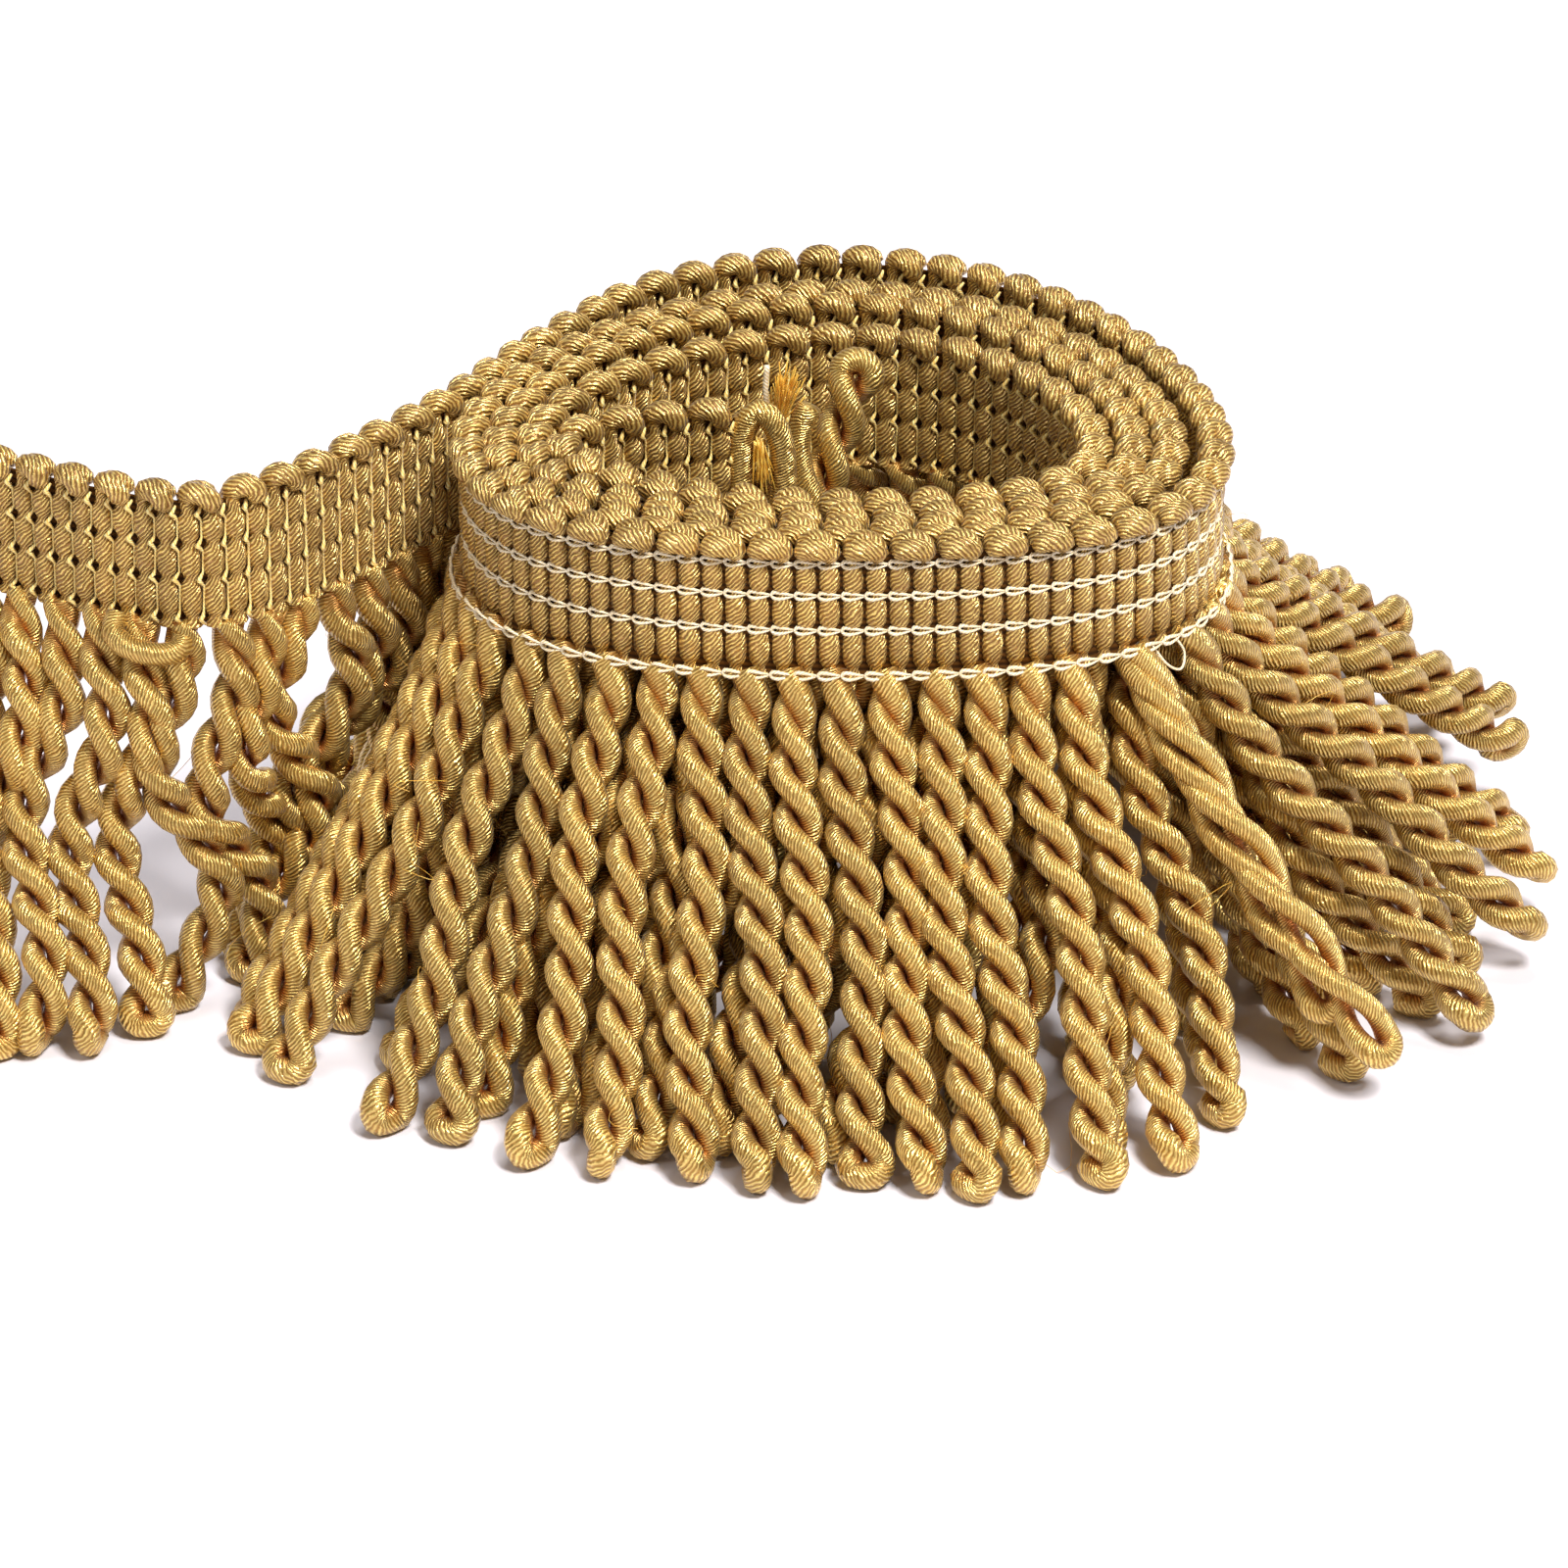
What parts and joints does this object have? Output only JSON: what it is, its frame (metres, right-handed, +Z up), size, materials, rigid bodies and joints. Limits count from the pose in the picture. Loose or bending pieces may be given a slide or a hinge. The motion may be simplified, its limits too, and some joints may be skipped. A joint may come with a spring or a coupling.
{
  "type": "rolled bullion cord fringe trim",
  "caption": "Gold bullion fringe trim with a stitched looped heading, wound into a roll that stands on its twisted cords, with a loose tail.",
  "frame": {"origin": "on the floor, under the middle of the whole object, tail included", "axes": "+X along the tail-to-roll length with the tail at -X, +Y towards the back, +Z up"},
  "size_m": [0.2088, 0.166, 0.0644],
  "materials": {
    "heading_gold": "satin rayon gimp ribs held by cream chain stitching",
    "cord_gold": "lustrous satin rayon, two-ply twisted"
  },
  "bodies": {
    "root": {"heading_inner_turn": "heading_gold", "heading_second_turn": "heading_gold", "heading_third_turn": "heading_gold", "heading_outer_turn": "heading_gold", "heading_tail": "heading_gold", "fringe_inner_turn": "cord_gold", "fringe_second_turn": "cord_gold", "fringe_third_turn": "cord_gold", "fringe_outer_turn": "cord_gold", "fringe_tail": "cord_gold"}
  },
  "joints": []
}
